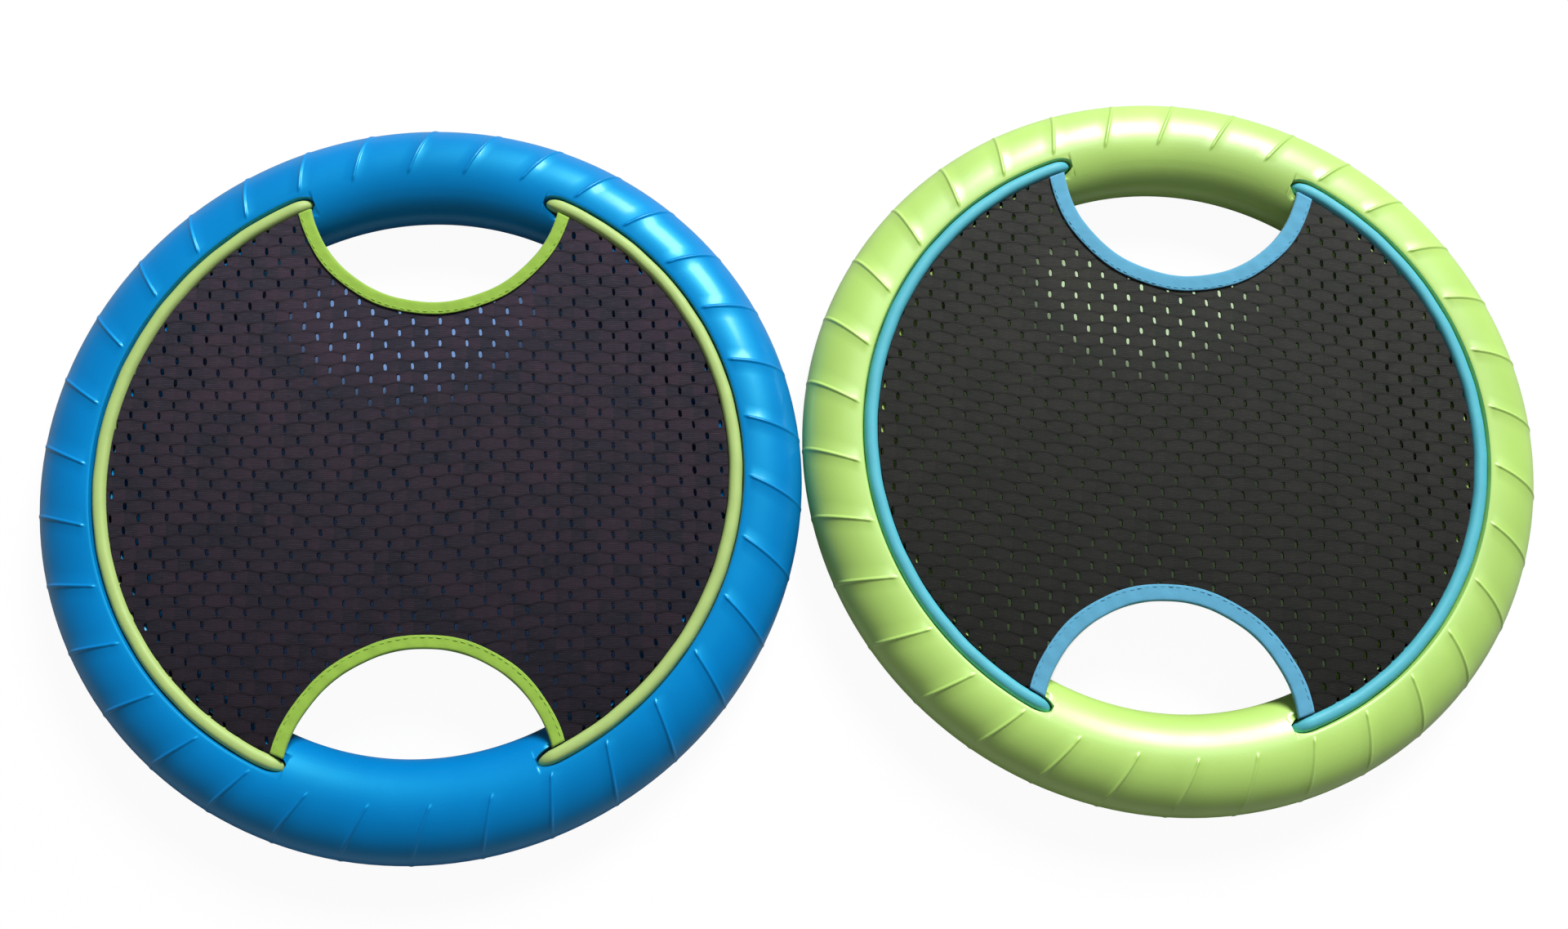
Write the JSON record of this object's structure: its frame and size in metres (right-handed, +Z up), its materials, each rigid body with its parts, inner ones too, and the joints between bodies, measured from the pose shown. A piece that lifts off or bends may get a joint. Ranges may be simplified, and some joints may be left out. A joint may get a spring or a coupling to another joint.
{
  "type": "trampoline paddle ball set",
  "caption": "Round catch paddles: a knitted net stretched in a ribbed moulded ring, with finger openings above and below the net.",
  "frame": {"origin": "on the ground, midway between the paddles, which lie side by side with their nets up", "axes": "+X runs along the pair from the blue paddle to the green one, +Y away from the viewer across the finger openings, +Z up out of the nets"},
  "size_m": [0.6, 0.3002, 0.0313],
  "materials": {
    "blue_rim": "satin gloss",
    "blue_bead": "satin",
    "blue_net": "knitted mesh",
    "blue_tape": "woven tape",
    "green_rim": "satin gloss",
    "green_bead": "satin",
    "green_net": "knitted mesh",
    "green_tape": "woven tape"
  },
  "bodies": {
    "root": {"blue_rim": "blue_rim", "blue_bead_left": "blue_bead", "blue_bead_right": "blue_bead", "blue_net": "blue_net", "blue_tape_top": "blue_tape", "blue_tape_bottom": "blue_tape", "green_rim": "green_rim", "green_bead_left": "green_bead", "green_bead_right": "green_bead", "green_net": "green_net", "green_tape_top": "green_tape", "green_tape_bottom": "green_tape"}
  },
  "joints": []
}
